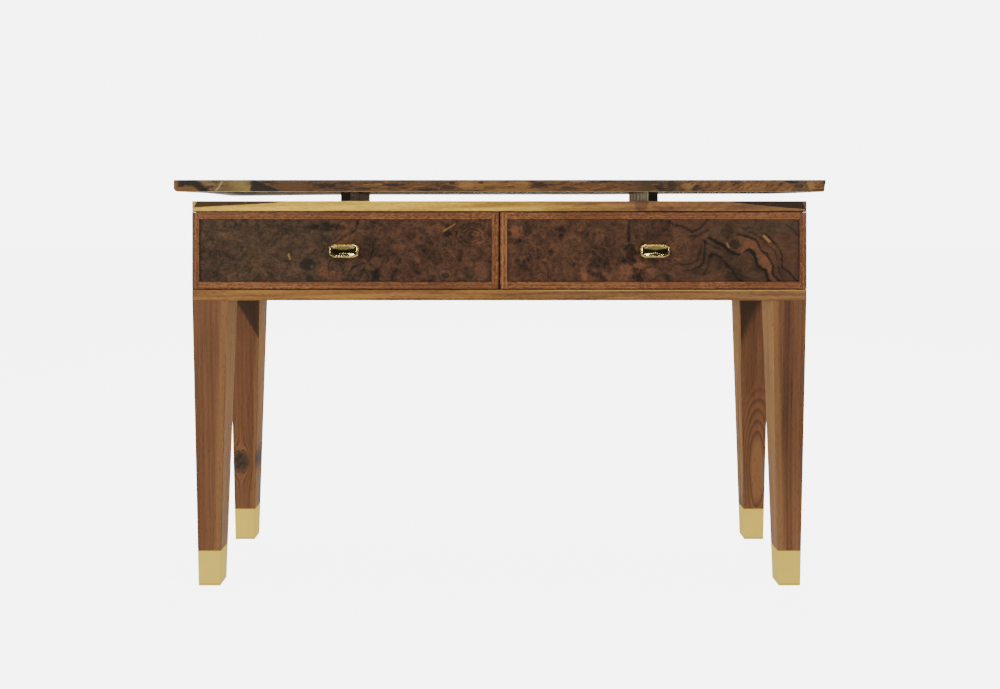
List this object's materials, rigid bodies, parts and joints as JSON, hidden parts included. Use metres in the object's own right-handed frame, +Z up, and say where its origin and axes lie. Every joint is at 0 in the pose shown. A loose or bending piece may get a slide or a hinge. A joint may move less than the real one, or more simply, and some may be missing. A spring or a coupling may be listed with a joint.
{
  "type": "console table",
  "caption": "Console table: a wood slab raised on dark bars over a case of framed burl drawers with brass pulls, on tapered legs in brass ferrules.",
  "frame": {"origin": "on the floor, under the middle of the table", "axes": "+X to the right along the table, +Y to its back, +Z up; the drawers open towards -Y"},
  "size_m": [1.205, 0.35, 0.762],
  "materials": {
    "walnut": "satin oiled walnut, straight grain",
    "slab": "satin oiled walnut slab, live figure at its front edge",
    "burl": "satin dark walnut burl",
    "blackened_bar": "matt blackened wood",
    "maple": "clear-finished hard maple",
    "polished_brass": "polished",
    "satin_brass": "satin brushed",
    "steel": "zinc plated"
  },
  "bodies": {
    "table": {"top_slab": "slab", "slab_screws": "steel", "top_board": "walnut", "bottom_board": "walnut", "centre_divider": "walnut", "back_panel": "walnut", "back_screws": "steel", "case_dowels": "maple", "runner_screws": "steel", "leg_bolts": "steel", "leg_washers": "steel", "leg_inserts": "steel", "spacer_bar_right": "blackened_bar", "side_panel_right": "walnut", "side_runner_right": "maple", "divider_runner_right": "maple", "spacer_bar_left": "blackened_bar", "side_panel_left": "walnut", "side_runner_left": "maple", "divider_runner_left": "maple", "leg_back_right": "walnut", "ferrule_back_right": "satin_brass", "leg_back_left": "walnut", "ferrule_back_left": "satin_brass", "leg_front_right": "walnut", "ferrule_front_right": "satin_brass", "leg_front_left": "walnut", "ferrule_front_left": "satin_brass"},
    "drawer_left": {"top_rail_left": "walnut", "bottom_rail_left": "walnut", "stile_outer_left": "walnut", "stile_inner_left": "walnut", "burl_panel_left": "burl", "box_front_left": "maple", "box_back_left": "maple", "box_side_outer_left": "maple", "box_side_inner_left": "maple", "box_floor_left": "maple", "box_pins_left": "maple", "front_screws_left": "steel", "pull_left": "polished_brass", "pull_screws_left": "steel"},
    "drawer_right": {"top_rail_right": "walnut", "bottom_rail_right": "walnut", "stile_outer_right": "walnut", "stile_inner_right": "walnut", "burl_panel_right": "burl", "box_front_right": "maple", "box_back_right": "maple", "box_side_outer_right": "maple", "box_side_inner_right": "maple", "box_floor_right": "maple", "box_pins_right": "maple", "front_screws_right": "steel", "pull_right": "polished_brass", "pull_screws_right": "steel"}
  },
  "joints": [
    {"name": "drawer_left_slide", "type": "slide", "parent": "table", "child": "drawer_left", "axis": [0, -1, 0], "range_m": [0, 0.19]},
    {"name": "drawer_right_slide", "type": "slide", "parent": "table", "child": "drawer_right", "axis": [0, -1, 0], "range_m": [0, 0.19]}
  ]
}
